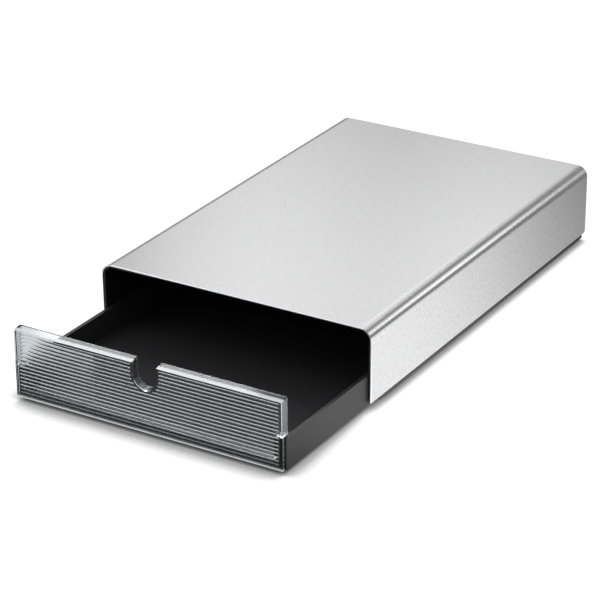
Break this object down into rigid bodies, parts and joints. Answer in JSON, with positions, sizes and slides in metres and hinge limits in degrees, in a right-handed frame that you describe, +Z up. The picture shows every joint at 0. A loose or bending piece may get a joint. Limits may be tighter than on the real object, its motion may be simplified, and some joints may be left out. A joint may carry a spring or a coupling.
{
  "type": "coffee pod drawer",
  "caption": "Low drawer for coffee pods: a clear fluted front with a thumb notch on a grey tray that slides out of a wide brushed steel housing with round upper edges.",
  "frame": {"origin": "bottom centre of the whole object with the drawer pulled out as drawn, on the surface that it stands on", "axes": "+Z up; the drawer opens towards -Y; +X is on the right of someone who faces the drawer front and looks along +Y"},
  "size_m": [0.26, 0.526, 0.0712],
  "materials": {
    "brushed_steel": "brushed stainless steel sheet, grain across the top and down the sides",
    "gloss_black_abs": "glossy black moulded ABS",
    "matte_black_abs": "fine-textured black moulded ABS",
    "zinc_screw": "zinc-plated steel",
    "bonding_tape": "white double-sided acrylic foam tape",
    "rubber": "black moulded rubber",
    "acetal": "natural white acetal, low friction",
    "acetal_black": "black acetal",
    "matte_grey_abs": "matte dark grey moulded ABS",
    "satin_black_pp": "satin black polypropylene",
    "clear_san": "clear moulded SAN plastic with a polished fluted face"
  },
  "bodies": {
    "housing": {"steel_cover": "brushed_steel", "top_shell": "gloss_black_abs", "base_shell": "gloss_black_abs", "rear_panel": "matte_black_abs", "rear_screws": "zinc_screw", "top_tape_left": "bonding_tape", "top_tape_middle": "bonding_tape", "top_tape_right": "bonding_tape", "side_tape_left": "bonding_tape", "side_tape_right": "bonding_tape", "foot_front_left": "rubber", "foot_front_right": "rubber", "foot_rear_left": "rubber", "foot_rear_right": "rubber", "runner_left": "acetal", "runner_right": "acetal", "stop_left": "acetal_black", "stop_right": "acetal_black", "bumper_left": "rubber", "bumper_right": "rubber"},
    "drawer": {"drawer_tray": "matte_grey_abs", "tray_insert": "satin_black_pp", "clear_front": "clear_san"}
  },
  "joints": [
    {"name": "drawer_slide", "type": "slide", "parent": "housing", "child": "drawer", "axis": [0, -1, 0], "range_m": [-0.129, 0.171]}
  ]
}
